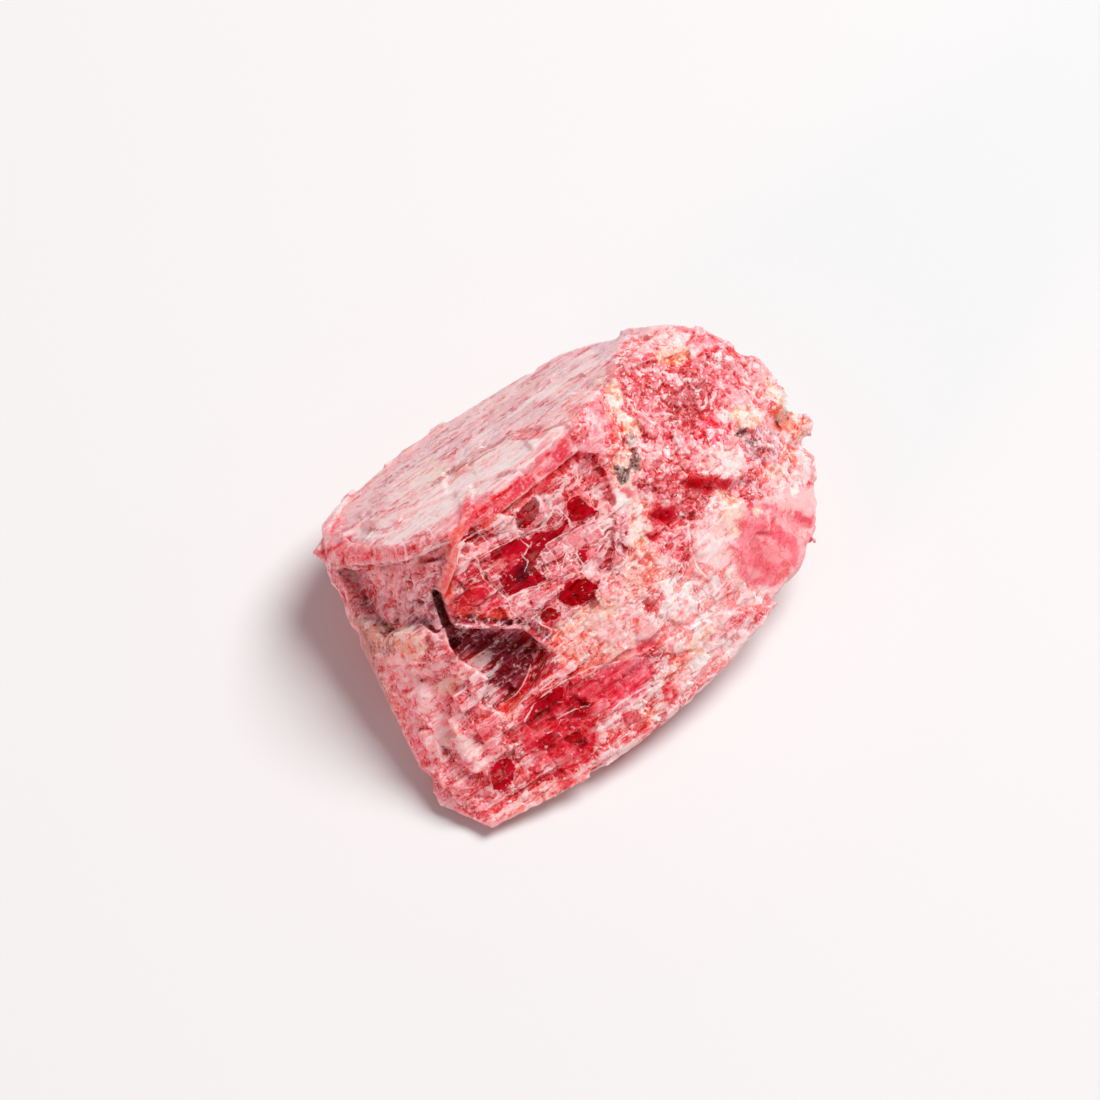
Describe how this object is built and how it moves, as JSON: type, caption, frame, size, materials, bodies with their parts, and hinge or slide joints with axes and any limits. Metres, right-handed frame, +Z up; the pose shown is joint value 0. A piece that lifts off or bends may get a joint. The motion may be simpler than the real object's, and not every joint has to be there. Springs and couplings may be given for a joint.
{
  "type": "rough rhodonite",
  "caption": "Broken lump of rough pink rhodonite with a pale cleavage face, glassy red blocks in rows, a dark hollow and a granular crown, lying on a flat foot.",
  "frame": {"origin": "middle of the bounding box in plan, at the height of the surface that the lump lies on", "axes": "+X along the lump's length and its top ridge, from the hollowed end to the crown; +Z up; -Y towards the rough front with the glassy blocks"},
  "size_m": [0.0398, 0.0298, 0.0199],
  "materials": {
    "rhodonite": "glassy pink-red broken stone, veined and frosted with white, with a satin to glassy lustre"
  },
  "bodies": {
    "root": {"rhodonite": "rhodonite"}
  },
  "joints": []
}
